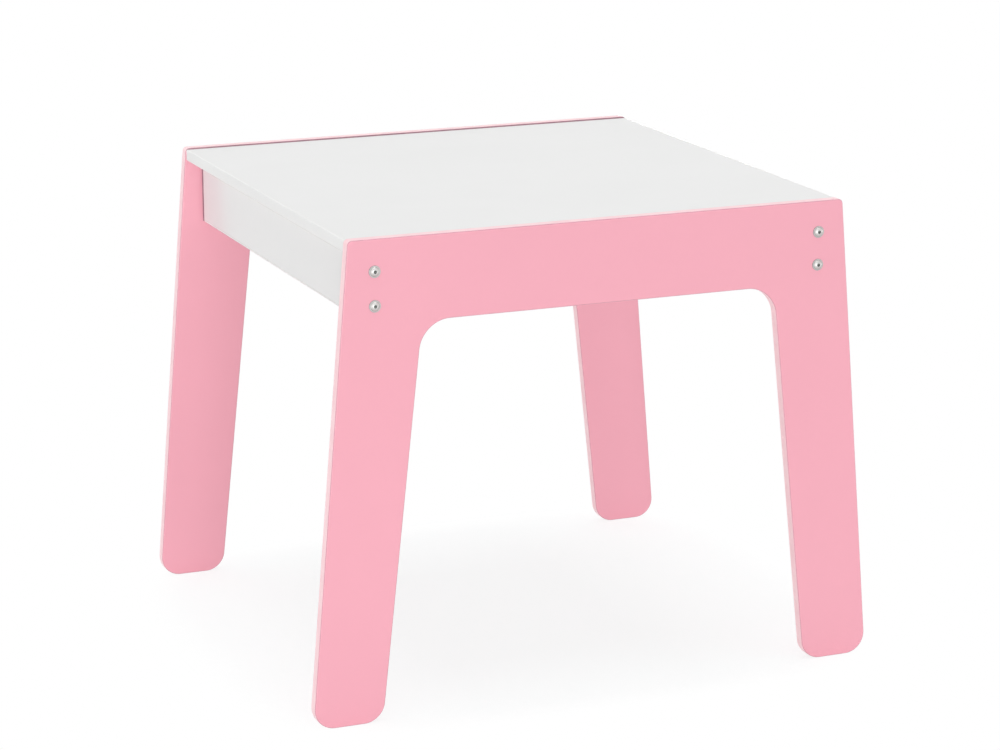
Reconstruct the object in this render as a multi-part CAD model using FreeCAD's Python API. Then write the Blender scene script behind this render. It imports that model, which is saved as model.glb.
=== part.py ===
import FreeCAD, Part
import math
import os

# Kids table: two inverted-U frames, front and rear, carry a white top and two aprons.
# Millimetres. X runs along the frames, Y from front to rear, Z up, origin on the floor at the centre.

# Frames, painted board
frame_height = 480.0
frame_thickness = 12.0
frame_top_width = 522.0
frame_foot_width = 604.0  # where the legs' outer edges would meet the floor
rail_height = 83.0
leg_root_width = 81.5  # across the leg, level, where it leaves the rail
leg_foot_width = 72.0
frame_corner_radius = 5.0
opening_corner_radius = 31.5
foot_corner_radius = 21.0
foot_radius_limit_share = 0.42  # of the foot's width
frame_arris_radius = 1.4
table_depth = 526.0  # over the outer faces of both frames

# Top, white faced board between the frames
top_thickness = 12.0
top_recess = 1.3  # the frames' upper edge stands this far above the top
top_side_inset = 0.3  # from the frame's upper corner to the top's side edge
top_corner_radius = 1.8

# Aprons, white faced board under the top
apron_thickness = 18.0
apron_overhang = 17.2  # the top's side edge stands out this far over the apron's outer face
apron_end_gap = 3.5  # the frames seat on the top, so each apron is a little short at both ends
apron_lift = 1.7  # the apron's lower edge lies this far above the rail's
apron_corner_radius = 3.0

# Edge bands on the white boards' exposed edges
band_thickness = 2.0
band_edge_radius = 1.5

# Flanged button head bolts that hold the frames to the aprons
bolt_diameter = 5.0
bolt_length = 50.0  # under the flange
bolt_flange_diameter = 11.8
bolt_flange_height = 0.8
bolt_crown_diameter = 9.5  # where the domed crown meets the flange
bolt_crown_bulge = 0.22  # the crown's rise over its chord
bolt_flat_diameter = 4.4  # flat round the socket
bolt_head_height = 2.75  # with the flange
bolt_socket_width = 3.0  # across the flats
bolt_socket_depth = 1.6
bolt_tip_chamfer = 0.8
bolt_tip_projection = 2.5  # the tip stands out this far past the nut
bolt_fit = 0.25  # all round, in the boards
bolt_hole_end_room = 3.0
bolt_height_shares = (0.245, 0.735)  # of the apron's height, from its lower edge

# Barrel nuts, let into the aprons from inside
nut_diameter = 10.0
nut_face_inset = 1.2  # from each face of the apron to the nut's end
nut_slot_width = 1.2
nut_slot_depth = 1.2
nut_chamfer = 0.4
nut_fit = 0.15
thread_fit = 0.1

# Wooden dowels that locate the top on the frames
dowel_diameter = 6.0
dowel_frame_depth = 7.0
dowel_top_depth = 17.0
dowel_chamfer = 0.8
dowel_fit = 0.15
dowel_end_room = 0.5
dowel_place_shares = (-0.58, 0.58)  # of the top's half width

# Angle brackets that hold the top down on the aprons
bracket_leg = 22.0
bracket_width = 16.0
bracket_thickness = 1.6
bracket_bend_radius = 1.5  # inside the bend
bracket_corner_radius = 3.0
bracket_hole_fit = 0.35
bracket_place_shares = (-0.52, 0.52)  # front and rear, of the apron's half length

# Pan head screws through the brackets
screw_diameter = 3.5
screw_bite = 8.0  # length in the board
screw_point_length = 2.0
screw_head_diameter = 7.0
screw_head_height = 2.2
screw_head_radius = 1.2
screw_cross_span = 4.0
screw_cross_width = 0.9
screw_cross_depth = 1.2
screw_fit = 0.1
screw_end_room = 0.3

# Shared by all cuts and edge searches
cut_overrun = 1.0
match_tolerance = 0.001

# Places that follow from the sizes above
top_half_width = frame_top_width / 2 - top_side_inset
top_surface_z = frame_height - top_recess
top_underside_z = top_surface_z - top_thickness
frame_inner_y = table_depth / 2 - frame_thickness
rail_bottom_z = frame_height - rail_height
apron_outer_x = top_half_width - apron_overhang
apron_inner_x = apron_outer_x - apron_thickness
apron_centre_x = apron_outer_x - apron_thickness / 2
apron_bottom_z = rail_bottom_z + apron_lift
apron_height = top_underside_z - apron_bottom_z
apron_end_y = frame_inner_y - apron_end_gap
nut_depth = bolt_length - bolt_tip_projection - nut_diameter / 2  # below the frame's outer face
bracket_hole_place = (bracket_leg + bracket_thickness + bracket_bend_radius) / 2

Vector = FreeCAD.Vector
origin = Vector(0, 0, 0)
x_axis = Vector(1, 0, 0)
y_axis = Vector(0, 1, 0)
z_axis = Vector(0, 0, 1)


def rounded_face(corners):
    """A flat face from (point, radius) corners in order: straight sides, with an arc at each radius."""
    spans = []
    for index, (point, radius) in enumerate(corners):
        before = (corners[index - 1][0] - point).normalize()
        after = (corners[(index + 1) % len(corners)][0] - point).normalize()
        half_angle = before.getAngle(after) / 2
        tangent_length = radius / math.tan(half_angle)
        inward = (before + after).normalize()
        nearest = point + inward * (radius / math.sin(half_angle) - radius)
        spans.append((point + before * tangent_length, nearest, point + after * tangent_length, radius))
    edges = []
    for index, (start, nearest, end, radius) in enumerate(spans):
        if radius > 0:
            edges.append(Part.Arc(start, nearest, end).toShape())
        following = spans[(index + 1) % len(spans)][0]
        edges.append(Part.LineSegment(end, following).toShape())
    return Part.Face(Part.Wire(edges))


def turned(shape, direction):
    """A shape that was made along +Z, turned to run along the given direction."""
    return shape.transformed(FreeCAD.Placement(origin, FreeCAD.Rotation(z_axis, direction)).toMatrix())


def mirrored_x(shape):
    return shape.mirror(origin, x_axis)


def mirrored_y(shape):
    return shape.mirror(origin, y_axis)


def frame_outline():
    """Corner points of the front frame's outer face, with the radius at each."""
    top_half = frame_top_width / 2
    foot_half = frame_foot_width / 2
    rail_bottom_half = top_half + (foot_half - top_half) * rail_height / frame_height
    foot_radius = min(foot_corner_radius, leg_foot_width * foot_radius_limit_share)
    right = [
        (top_half, frame_height, frame_corner_radius),
        (foot_half, 0, foot_radius),
        (foot_half - leg_foot_width, 0, foot_radius),
        (rail_bottom_half - leg_root_width, rail_bottom_z, opening_corner_radius),
    ]
    left = [(-x, z, radius) for x, z, radius in reversed(right)]
    return [(Vector(x, -table_depth / 2, z), radius) for x, z, radius in right + left]


def make_front_frame():
    board = rounded_face(frame_outline()).extrude(y_axis * frame_thickness)
    outline_edges = [edge for edge in board.Edges if edge.BoundBox.YLength < match_tolerance]
    board = board.makeFillet(frame_arris_radius, outline_edges)
    return board.cut([bolt_hole(x, z) for x, z in bolt_places()] + dowel_holes())


def bolt_places():
    """X and Z of the four bolts of one frame."""
    heights = [apron_bottom_z + share * apron_height for share in bolt_height_shares]
    return [(x, z) for x in (-apron_centre_x, apron_centre_x) for z in heights]


def bolt_hole(x, z):
    """The hole for one front bolt, through the frame and into the apron's end."""
    start = Vector(x, -table_depth / 2 - cut_overrun, z)
    length = cut_overrun + bolt_length + bolt_hole_end_room
    return Part.makeCylinder(bolt_diameter / 2 + bolt_fit, length, start, y_axis)


def hex_socket():
    """The socket's space along +Y, open at the top of a bolt's head."""
    corner_radius = bolt_socket_width / 2 / math.cos(math.pi / 6)
    turns = [math.pi / 3 * side for side in range(7)]
    points = [Vector(math.sin(turn), 0, math.cos(turn)) * corner_radius for turn in turns]
    mouth = y_axis * -(bolt_head_height + cut_overrun)
    hexagon = Part.Face(Part.makePolygon(points)).translated(mouth)
    return hexagon.extrude(y_axis * (cut_overrun + bolt_socket_depth))


def make_bolt(x, z):
    """One front bolt: flange on the frame's outer face, domed crown outside it, tip past the barrel nut."""
    shank_radius = bolt_diameter / 2
    flange_radius = bolt_flange_diameter / 2
    crown_top = Vector(bolt_flat_diameter / 2, -bolt_head_height, 0)
    crown_foot = Vector(bolt_crown_diameter / 2, -bolt_flange_height, 0)
    chord = crown_foot - crown_top
    outward = Vector(chord.y, -chord.x, 0).normalize()
    crown_middle = (crown_top + crown_foot) / 2 + outward * bolt_crown_bulge
    stem = [
        crown_foot,
        Vector(flange_radius, -bolt_flange_height, 0),
        Vector(flange_radius, 0, 0),
        Vector(shank_radius, 0, 0),
        Vector(shank_radius, bolt_length - bolt_tip_chamfer, 0),
        Vector(shank_radius - bolt_tip_chamfer, bolt_length, 0),
        y_axis * bolt_length,
        y_axis * -bolt_head_height,
        crown_top,
    ]
    crown = Part.Arc(crown_top, crown_middle, crown_foot).toShape()
    outline = Part.Wire([crown] + Part.makePolygon(stem).Edges)
    bolt = Part.Face(outline).revolve(origin, y_axis, 360).cut(hex_socket())
    return bolt.translated(Vector(x, -table_depth / 2, z))


def dowel_bar(fit, end_room):
    """A dowel, or its hole, along +Y with the frame's inner face at the origin."""
    start = -(dowel_frame_depth + end_room)
    length = dowel_frame_depth + dowel_top_depth + 2 * end_room
    return Part.makeCylinder(dowel_diameter / 2 + fit, length, y_axis * start, y_axis)


def dowel_spots():
    """The front dowels' places on the frame's inner face."""
    height = top_surface_z - top_thickness / 2
    return [Vector(share * top_half_width, -frame_inner_y, height) for share in dowel_place_shares]


def dowel_holes():
    return [dowel_bar(dowel_fit, dowel_end_room).translated(spot) for spot in dowel_spots()]


def make_front_dowels():
    dowel = dowel_bar(0, 0)
    rims = [edge for edge in dowel.Edges if edge.BoundBox.YLength < match_tolerance]
    dowel = dowel.makeChamfer(dowel_chamfer, rims)
    return Part.makeCompound([dowel.translated(spot) for spot in dowel_spots()])


def make_top_blank():
    """The whole top with its bands: four rounded corners, and all edges round both faces eased."""
    sides = [(-1, -1), (1, -1), (1, 1), (-1, 1)]
    points = [Vector(x * top_half_width, y * frame_inner_y, top_underside_z) for x, y in sides]
    outline = rounded_face([(point, top_corner_radius) for point in points])
    blank = outline.extrude(z_axis * top_thickness)
    face_edges = [edge for edge in blank.Edges if edge.BoundBox.ZLength < match_tolerance]
    return blank.makeFillet(band_edge_radius, face_edges)


def make_top():
    core_half = top_half_width - band_thickness
    corner = Vector(-core_half, -frame_inner_y, top_underside_z)
    core = Part.makeBox(2 * core_half, 2 * frame_inner_y, top_thickness, corner)
    left_holes = [top_hole for top_hole, _ in bracket_screw_holes()]
    right_holes = [mirrored_x(hole) for hole in left_holes]
    front_holes = dowel_holes()
    rear_holes = [mirrored_y(hole) for hole in front_holes]
    return make_top_blank().common(core).cut(left_holes + right_holes + front_holes + rear_holes)


def make_top_left_band():
    corner = Vector(-top_half_width, -frame_inner_y, top_underside_z)
    strip = Part.makeBox(band_thickness, 2 * frame_inner_y, top_thickness, corner)
    return make_top_blank().common(strip)


def make_apron_blank():
    """The whole left apron with its band: lower end corners and all edges but the upper ones rounded."""
    corners = [
        (Vector(-apron_outer_x, -apron_end_y, top_underside_z), 0),
        (Vector(-apron_outer_x, -apron_end_y, apron_bottom_z), apron_corner_radius),
        (Vector(-apron_outer_x, apron_end_y, apron_bottom_z), apron_corner_radius),
        (Vector(-apron_outer_x, apron_end_y, top_underside_z), 0),
    ]
    blank = rounded_face(corners).extrude(x_axis * apron_thickness)
    outline_edges = [edge for edge in blank.Edges if edge.BoundBox.XLength < match_tolerance]
    low_edges = [edge for edge in outline_edges if edge.BoundBox.ZMin < top_underside_z - match_tolerance]
    return blank.makeFillet(band_edge_radius, low_edges)


def make_left_apron():
    corner = Vector(-apron_outer_x, -apron_end_y, apron_bottom_z + band_thickness)
    core = Part.makeBox(apron_thickness, 2 * apron_end_y, apron_height - band_thickness, corner)
    front_holes = [bolt_hole(x, z) for x, z in bolt_places() if x < 0]
    rear_holes = [mirrored_y(hole) for hole in front_holes]
    screw_holes = [apron_hole for _, apron_hole in bracket_screw_holes()]
    return make_apron_blank().common(core).cut(front_holes + rear_holes + nut_pockets() + screw_holes)


def make_left_apron_band():
    corner = Vector(-apron_outer_x, -apron_end_y, apron_bottom_z)
    strip = Part.makeBox(apron_thickness, 2 * apron_end_y, band_thickness, corner)
    return make_apron_blank().common(strip)


def nut_spots():
    """Where the bolts' axes cross the left apron's barrel nuts."""
    y = table_depth / 2 - nut_depth
    heights = [z for x, z in bolt_places() if x < 0]
    return [Vector(-apron_centre_x, side * y, z) for side in (-1, 1) for z in heights]


def nut_pockets():
    """Round pockets for the left apron's barrel nuts, open at its inner face."""
    depth = cut_overrun + apron_thickness - nut_face_inset + nut_fit
    radius = nut_diameter / 2 + nut_fit
    mouths = [Vector(-apron_inner_x + cut_overrun, spot.y, spot.z) for spot in nut_spots()]
    return [Part.makeCylinder(radius, depth, mouth, -x_axis) for mouth in mouths]


def make_nut(spot):
    """A barrel nut across the apron, cross-bored for the bolt and slotted at its inner end."""
    radius = nut_diameter / 2
    length = apron_thickness - 2 * nut_face_inset
    reach = radius + cut_overrun
    inner_end = spot + x_axis * (length / 2)
    nut = Part.makeCylinder(radius, length, inner_end, -x_axis)
    rims = [edge for edge in nut.Edges if edge.BoundBox.XLength < match_tolerance]
    nut = nut.makeChamfer(nut_chamfer, rims)
    bore = Part.makeCylinder(bolt_diameter / 2 + thread_fit, 2 * reach, spot - y_axis * reach, y_axis)
    slot_corner = inner_end - Vector(nut_slot_depth, reach, nut_slot_width / 2)
    slot = Part.makeBox(nut_slot_depth + cut_overrun, 2 * reach, nut_slot_width, slot_corner)
    return nut.cut([bore, slot])


def make_left_nuts():
    return Part.makeCompound([make_nut(spot) for spot in nut_spots()])


def bracket_corner(share):
    """Where the bracket's outer bend meets the left apron and the top's underside."""
    return Vector(-apron_inner_x, share * apron_end_y, top_underside_z)


def make_left_bracket(share):
    leg = bracket_leg
    wall = bracket_thickness
    outline = [
        (0, 0, wall + bracket_bend_radius),
        (leg, 0, 0),
        (leg, -wall, 0),
        (wall, -wall, bracket_bend_radius),
        (wall, -leg, 0),
        (0, -leg, 0),
    ]
    profile = [(Vector(x, -bracket_width / 2, z), radius) for x, z, radius in outline]
    bracket = rounded_face(profile).extrude(y_axis * bracket_width)
    end_edges = []
    for edge in bracket.Edges:
        middle = edge.BoundBox.Center
        past_ends = max(middle.x, -middle.z) > leg - match_tolerance
        if past_ends and edge.BoundBox.YLength < match_tolerance:
            end_edges.append(edge)
    bracket = bracket.makeFillet(bracket_corner_radius, end_edges)
    radius = screw_diameter / 2 + bracket_hole_fit
    depth = wall + 2 * cut_overrun
    up_start = Vector(bracket_hole_place, 0, -wall - cut_overrun)
    side_start = Vector(-cut_overrun, 0, -bracket_hole_place)
    up_hole = Part.makeCylinder(radius, depth, up_start, z_axis)
    side_hole = Part.makeCylinder(radius, depth, side_start, x_axis)
    return bracket.cut([up_hole, side_hole]).translated(bracket_corner(share))


def screw_seats(share):
    """Under-head points of one left bracket's screws: up into the top, and sideways into the apron."""
    corner = bracket_corner(share)
    up_seat = corner + Vector(bracket_hole_place, 0, -bracket_thickness)
    side_seat = corner + Vector(bracket_thickness, 0, -bracket_hole_place)
    return up_seat, side_seat


def bracket_screw_holes():
    """Pilot holes for the left brackets, in pairs: in the top and in the apron."""
    depth = bracket_thickness + screw_bite + screw_end_room
    pilot = Part.makeCylinder(screw_diameter / 2 + screw_fit, depth)
    pairs = []
    for share in bracket_place_shares:
        up_seat, side_seat = screw_seats(share)
        pairs.append((pilot.translated(up_seat), turned(pilot, -x_axis).translated(side_seat)))
    return pairs


def make_screw():
    """A pan head screw along +Z, with the underside of its head at the origin."""
    radius = screw_diameter / 2
    shank_length = bracket_thickness + screw_bite - screw_point_length
    head = Part.makeCylinder(screw_head_diameter / 2, screw_head_height, origin, -z_axis)
    crown_edges = [edge for edge in head.Edges if edge.BoundBox.ZMax < -screw_head_height / 2]
    head = head.makeFillet(screw_head_radius, crown_edges)
    shank = Part.makeCylinder(radius, shank_length)
    point = Part.makeCone(radius, 0, screw_point_length, z_axis * shank_length, z_axis)
    cross_z = -screw_head_height - cut_overrun
    cross_depth = cut_overrun + screw_cross_depth
    cross_start = Vector(-screw_cross_span / 2, -screw_cross_width / 2, cross_z)
    along = Part.makeBox(screw_cross_span, screw_cross_width, cross_depth, cross_start)
    across = along.rotated(origin, z_axis, 90)
    return head.fuse([shank, point]).removeSplitter().cut([along, across])


def make_bracket_screws():
    """All screws into the top, then all screws into the aprons."""
    screw = make_screw()
    into_top = []
    into_aprons = []
    for share in bracket_place_shares:
        up_seat, side_seat = screw_seats(share)
        up_screw = screw.translated(up_seat)
        side_screw = turned(screw, -x_axis).translated(side_seat)
        into_top += [up_screw, mirrored_x(up_screw)]
        into_aprons += [side_screw, mirrored_x(side_screw)]
    return Part.makeCompound(into_top), Part.makeCompound(into_aprons)


def make_nodes():
    """Every piece by name. The rear pieces mirror the front ones, and the right the left."""
    top_screws, apron_screws = make_bracket_screws()
    front_share, rear_share = bracket_place_shares
    front_pieces = {
        "front_frame": make_front_frame(),
        "front_frame_bolts": Part.makeCompound([make_bolt(x, z) for x, z in bolt_places()]),
        "front_top_dowels": make_front_dowels(),
    }
    left_pieces = {
        "top_left_edge_band": make_top_left_band(),
        "left_apron": make_left_apron(),
        "left_apron_edge_band": make_left_apron_band(),
        "left_apron_barrel_nuts": make_left_nuts(),
        "front_left_bracket": make_left_bracket(front_share),
        "rear_left_bracket": make_left_bracket(rear_share),
    }
    nodes = {
        "table_top": make_top(),
        "bracket_top_screws": top_screws,
        "bracket_apron_screws": apron_screws,
    }
    for name, shape in front_pieces.items():
        nodes[name] = shape
        nodes[name.replace("front", "rear")] = mirrored_y(shape)
    for name, shape in left_pieces.items():
        nodes[name] = shape
        nodes[name.replace("left", "right")] = mirrored_x(shape)
    return nodes


os.makedirs("parts", exist_ok=True)
for node_name, node_shape in make_nodes().items():
    node_shape.exportStep("parts/" + node_name + ".step")
    print(node_name, len(node_shape.Solids), "solids", round(node_shape.Volume), "mm3", node_shape.isValid())
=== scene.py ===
import math

import bmesh
import bpy
from mathutils import Matrix, Vector


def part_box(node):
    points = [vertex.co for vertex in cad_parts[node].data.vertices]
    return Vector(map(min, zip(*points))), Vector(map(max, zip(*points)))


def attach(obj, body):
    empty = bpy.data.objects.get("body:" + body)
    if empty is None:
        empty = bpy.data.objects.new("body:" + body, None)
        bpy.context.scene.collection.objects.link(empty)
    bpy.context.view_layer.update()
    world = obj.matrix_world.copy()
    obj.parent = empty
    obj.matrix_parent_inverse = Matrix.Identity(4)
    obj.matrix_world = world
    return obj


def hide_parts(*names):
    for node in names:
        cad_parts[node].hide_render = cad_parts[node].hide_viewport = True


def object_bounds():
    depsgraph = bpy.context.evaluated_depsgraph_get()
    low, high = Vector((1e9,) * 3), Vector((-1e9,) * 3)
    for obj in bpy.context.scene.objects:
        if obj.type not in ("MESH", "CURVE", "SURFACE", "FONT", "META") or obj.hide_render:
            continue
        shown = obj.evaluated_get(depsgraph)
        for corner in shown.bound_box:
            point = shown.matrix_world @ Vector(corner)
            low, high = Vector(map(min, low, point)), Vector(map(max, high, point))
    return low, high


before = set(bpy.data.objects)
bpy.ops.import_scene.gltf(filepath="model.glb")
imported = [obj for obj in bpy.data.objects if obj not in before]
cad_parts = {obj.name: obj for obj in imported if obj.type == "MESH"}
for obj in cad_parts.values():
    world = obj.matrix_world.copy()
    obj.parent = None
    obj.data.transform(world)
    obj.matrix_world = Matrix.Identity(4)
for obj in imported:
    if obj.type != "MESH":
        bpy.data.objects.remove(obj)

cadLow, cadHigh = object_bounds()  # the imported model's own box
print("frame loaded with", len(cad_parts), "nodes")

scene = bpy.context.scene
scene.view_settings.view_transform = "Standard"
xAxis, yAxis, zAxis = Vector((1, 0, 0)), Vector((0, 1, 0)), Vector((0, 0, 1))

# camera, at the photo's viewing angle
cameraSet = {
    "lens": 112.07,
    "sensor": 36.0,
    "azimuth": -22.52,
    "elevation": 14.62,
    "place": (-1.2152, -2.9350, 1.0906),
}


def makeCamera(settings):
    data = bpy.data.cameras.new("tableCamera")
    data.lens = settings["lens"]
    data.sensor_width = settings["sensor"]
    camera = bpy.data.objects.new("tableCamera", data)
    camera.location = settings["place"]
    tilt = math.radians(90 - settings["elevation"])
    camera.rotation_euler = (tilt, 0, math.radians(settings["azimuth"]))
    scene.collection.objects.link(camera)
    scene.camera = camera


makeCamera(cameraSet)
print("camera placed")


# shader helpers
def feed(tree, socket, value):
    # another node's socket is linked, and anything else is a plain value
    if isinstance(value, bpy.types.NodeSocket):
        tree.links.new(value, socket)
    elif value is not None:
        socket.default_value = value


def addNode(tree, kind, *values, **choices):
    # makes the node's choices, then fills its live inputs in order
    node = tree.nodes.new("ShaderNode" + kind)
    for label, choice in choices.items():
        setattr(node, label, choice)
    for socket, value in zip([socket for socket in node.inputs if socket.enabled], values):
        feed(tree, socket, value)
    return next(socket for socket in node.outputs if socket.enabled)


def addMath(tree, operation, first, second):
    return addNode(tree, "Math", first, second, operation=operation)


# floor, sky and lamps
studioSet = {
    "floorHalf": 30.0,
    "floorTone": 0.85,  # what the floor throws back onto the table
    "floorGlow": 0.755,  # white share of the floor that the camera sees
    "floorShade": (0.290, 0.302, 0.302, 1.0),  # the part of it that takes the shadow
    "shadeNear": 1.0,  # share of the footprint where it starts to fade to plain white
    "shadeFar": 1.45,
    "skyTone": (0.99, 0.995, 1.0, 1.0),
    "skyLevel": 0.525,
    "lookAt": (0.0, 0.0, 0.25),
    "lamps": {  # place, width, height, watts; the low ones stay below the top, which would mirror them
        "overhead": ((0.0, 0.0, 4.2), 3.0, 3.0, 77.0),
        "frontLow": ((-2.6, -8.0, 0.25), 4.0, 0.4, 284.0),
        "leftLow": ((-6.6, -0.6, 0.25), 3.0, 0.4, 76.0),
        "rearLow": ((2.6, 8.0, 0.25), 4.0, 0.4, 250.0),
        "rightLow": ((6.6, 0.6, 0.25), 3.0, 0.4, 76.0),
    },
}


def seenDirectly(tree):
    # rays from the eye, from a mirror or through glass
    rays = tree.nodes.new("ShaderNodeLightPath").outputs
    seen = addMath(tree, "MAXIMUM", rays["Is Camera Ray"], rays["Is Glossy Ray"])
    return addMath(tree, "MAXIMUM", seen, rays["Is Transmission Ray"])


def makeFloorMaterial(settings):
    material = bpy.data.materials.new("paleFloor")
    material.use_nodes = True
    tree = material.node_tree
    tree.nodes.clear()
    bounce = addNode(tree, "BsdfDiffuse", (settings["floorTone"],) * 3 + (1,))
    shade = addNode(tree, "BsdfDiffuse", settings["floorShade"])
    glow = addNode(tree, "Emission", None, settings["floorGlow"])
    near = addNode(tree, "AddShader", shade, glow)
    white = addNode(tree, "Emission")
    place = tree.nodes.new("ShaderNodeTexCoord").outputs["Object"]
    footprint = (cadHigh[0], cadHigh[1], 1)
    share = addNode(tree, "VectorMath", place, footprint, operation="DIVIDE")
    square = addNode(tree, "VectorMath", share, share, operation="MULTIPLY")
    reach = addNode(tree, "VectorMath", square, operation="LENGTH")
    fade = addNode(tree, "MapRange", reach, settings["shadeNear"], settings["shadeFar"],
                   interpolation_type="SMOOTHSTEP")
    shown = addNode(tree, "MixShader", fade, near, white)
    byRay = addNode(tree, "MixShader", seenDirectly(tree), bounce, shown)
    clear = addNode(tree, "BsdfTransparent")  # nothing to see from below
    fromBelow = tree.nodes.new("ShaderNodeNewGeometry").outputs["Backfacing"]
    bySide = addNode(tree, "MixShader", fromBelow, byRay, clear)
    tree.links.new(bySide, tree.nodes.new("ShaderNodeOutputMaterial").inputs["Surface"])
    return material


def makeStudio(settings):
    bm = bmesh.new()
    bmesh.ops.create_grid(bm, x_segments=1, y_segments=1, size=settings["floorHalf"])
    mesh = bpy.data.meshes.new("floor")
    bm.to_mesh(mesh)
    bm.free()
    floor = bpy.data.objects.new("floor", mesh)
    mesh.materials.append(makeFloorMaterial(settings))
    scene.collection.objects.link(floor)

    world = bpy.data.worlds.new("studioSky")
    world.use_nodes = True
    scene.world = world
    tree = world.node_tree
    tree.nodes.clear()
    light = addNode(tree, "Background", settings["skyTone"], settings["skyLevel"])
    shown = addNode(tree, "Background", (1, 1, 1, 1))
    byRay = addNode(tree, "MixShader", seenDirectly(tree), light, shown)
    tree.links.new(byRay, tree.nodes.new("ShaderNodeOutputWorld").inputs["Surface"])

    for name, (place, width, height, watts) in settings["lamps"].items():
        light = bpy.data.lights.new(name + "Softbox", "AREA")
        light.shape = "RECTANGLE"
        light.size = width
        light.size_y = height
        light.energy = watts
        lamp = bpy.data.objects.new(name + "Softbox", light)
        lamp.location = place
        aim = Vector(settings["lookAt"]) - lamp.location
        lamp.rotation_euler = aim.to_track_quat("-Z", "Y").to_euler()
        lamp.visible_camera = False
        scene.collection.objects.link(lamp)


makeStudio(studioSet)
print("floor, sky and lamps made")

# shared surface effects
effectSet = {
    "noiseSpan": (0.3, 0.7),  # where most of a noise's values lie
    "driftDetail": 4.0,
    "patchDetail": 5.0, "patchRoughness": 0.6,
    "peelDetail": 1.5, "rippleDetail": 1.0, "speckScale": 90.0, "speckSpan": (0.0, 0.06),
    "breakupDetail": 4.0, "breakupRoughness": 0.65, "breakupSpan": (0.40, 0.60), "breakupShare": (0.80, 1.0),
    "fibreDetail": 6.0, "fibreRoughness": 0.7,
}


def newGroup(name, inputs, output, outputKind):
    group = bpy.data.node_groups.new(name, "ShaderNodeTree")
    for label, kind, value in inputs:
        socket = group.interface.new_socket(name=label, in_out="INPUT", socket_type="NodeSocket" + kind)
        if value is not None:
            socket.default_value = value
    group.interface.new_socket(name=output, in_out="OUTPUT", socket_type="NodeSocket" + outputKind)
    given = group.nodes.new("NodeGroupInput").outputs
    return group, given, group.nodes.new("NodeGroupOutput").inputs[output]


def makeToneDrift():
    # slow unevenness of a colour, a little lighter here and darker there
    group, given, made = newGroup(
        "toneDrift",
        (("Vector", "Vector", None), ("Colour", "Color", None), ("Scale", "Float", 8.0),
         ("Amount", "Float", 0.02)), "Colour", "Color")
    slow = addNode(group, "TexNoise", given["Vector"], given["Scale"], effectSet["driftDetail"])
    low = addMath(group, "SUBTRACT", 1.0, given["Amount"])
    high = addMath(group, "ADD", 1.0, given["Amount"])
    level = addNode(group, "MapRange", slow, *effectSet["noiseSpan"], low, high)
    scaled = addNode(group, "VectorMath", given["Colour"], level, operation="SCALE")
    group.links.new(scaled, made)
    return group


def makeGlossDrift():
    # patches where hands and cloths have left the surface duller or brighter
    group, given, made = newGroup(
        "glossDrift",
        (("Vector", "Vector", None), ("Roughness", "Float", 0.4), ("Spread", "Float", 0.05),
         ("Scale", "Float", 14.0)), "Roughness", "Float")
    patches = addNode(group, "TexNoise", given["Vector"], given["Scale"],
                      effectSet["patchDetail"], effectSet["patchRoughness"])
    low = addMath(group, "SUBTRACT", given["Roughness"], given["Spread"])
    high = addMath(group, "ADD", given["Roughness"], given["Spread"])
    group.links.new(addNode(group, "MapRange", patches, *effectSet["noiseSpan"], low, high), made)
    return group


def makeSkinGrain():
    # sprayed or pressed skin: broad ripples, fine peel and a few raised specks
    group, given, made = newGroup(
        "skinGrain",
        (("Vector", "Vector", None), ("Peel Scale", "Float", 500.0), ("Ripple Scale", "Float", 30.0),
         ("Ripple", "Float", 0.4), ("Specks", "Float", 0.3)), "Height", "Float")
    place = given["Vector"]
    peel = addNode(group, "TexNoise", place, given["Peel Scale"], effectSet["peelDetail"])
    ripple = addNode(group, "TexNoise", place, given["Ripple Scale"], effectSet["rippleDetail"])
    cells = addNode(group, "TexVoronoi", place, effectSet["speckScale"])
    speck = addNode(group, "MapRange", cells, *effectSet["speckSpan"], 1.0, 0.0)
    ripple = addMath(group, "MULTIPLY", ripple, given["Ripple"])
    speck = addMath(group, "MULTIPLY", speck, given["Specks"])
    height = addMath(group, "ADD", addMath(group, "ADD", peel, ripple), speck)
    group.links.new(height, made)
    return group


def makePaintedLightBreakup():
    # broken-up mask of painted light and shade along the edges and joints, from the piece's own mask
    group, given, made = newGroup(
        "paintedLightBreakup",
        (("Vector", "Vector", None), ("Edge", "Float", 0.0), ("Scale", "Float", 60.0),
         ("Amount", "Float", 0.5)), "Mask", "Float")
    patches = addNode(group, "TexNoise", given["Vector"], given["Scale"],
                      effectSet["breakupDetail"], effectSet["breakupRoughness"])
    broken = addNode(group, "MapRange", patches, *effectSet["breakupSpan"], *effectSet["breakupShare"])
    mask = addMath(group, "MULTIPLY", given["Edge"], broken)
    group.links.new(addMath(group, "MULTIPLY", mask, given["Amount"]), made)
    return group


def makeFibreGrain():
    # drawn-out fibres, for wood and for the pressed board's core
    group, given, made = newGroup(
        "fibreGrain",
        (("Vector", "Vector", None), ("Stretch", "Vector", (1.0, 1.0, 1.0)),
         ("Scale", "Float", 300.0)), "Mask", "Float")
    drawn = addNode(group, "VectorMath", given["Vector"], given["Stretch"], operation="MULTIPLY")
    fibres = addNode(group, "TexNoise", drawn, given["Scale"],
                     effectSet["fibreDetail"], effectSet["fibreRoughness"])
    group.links.new(addNode(group, "MapRange", fibres, *effectSet["noiseSpan"], 0.0, 1.0), made)
    return group


toneDrift = makeToneDrift()
glossDrift = makeGlossDrift()
skinGrain = makeSkinGrain()
paintedLightBreakup = makePaintedLightBreakup()
fibreGrain = makeFibreGrain()
print("surface effects made")


# materials
def newMaterial(name):
    material = bpy.data.materials.new(name)
    material.use_nodes = True
    tree = material.node_tree
    coords = tree.nodes.new("ShaderNodeTexCoord")
    return material, tree, tree.nodes["Principled BSDF"], coords.outputs["Object"]


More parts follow.
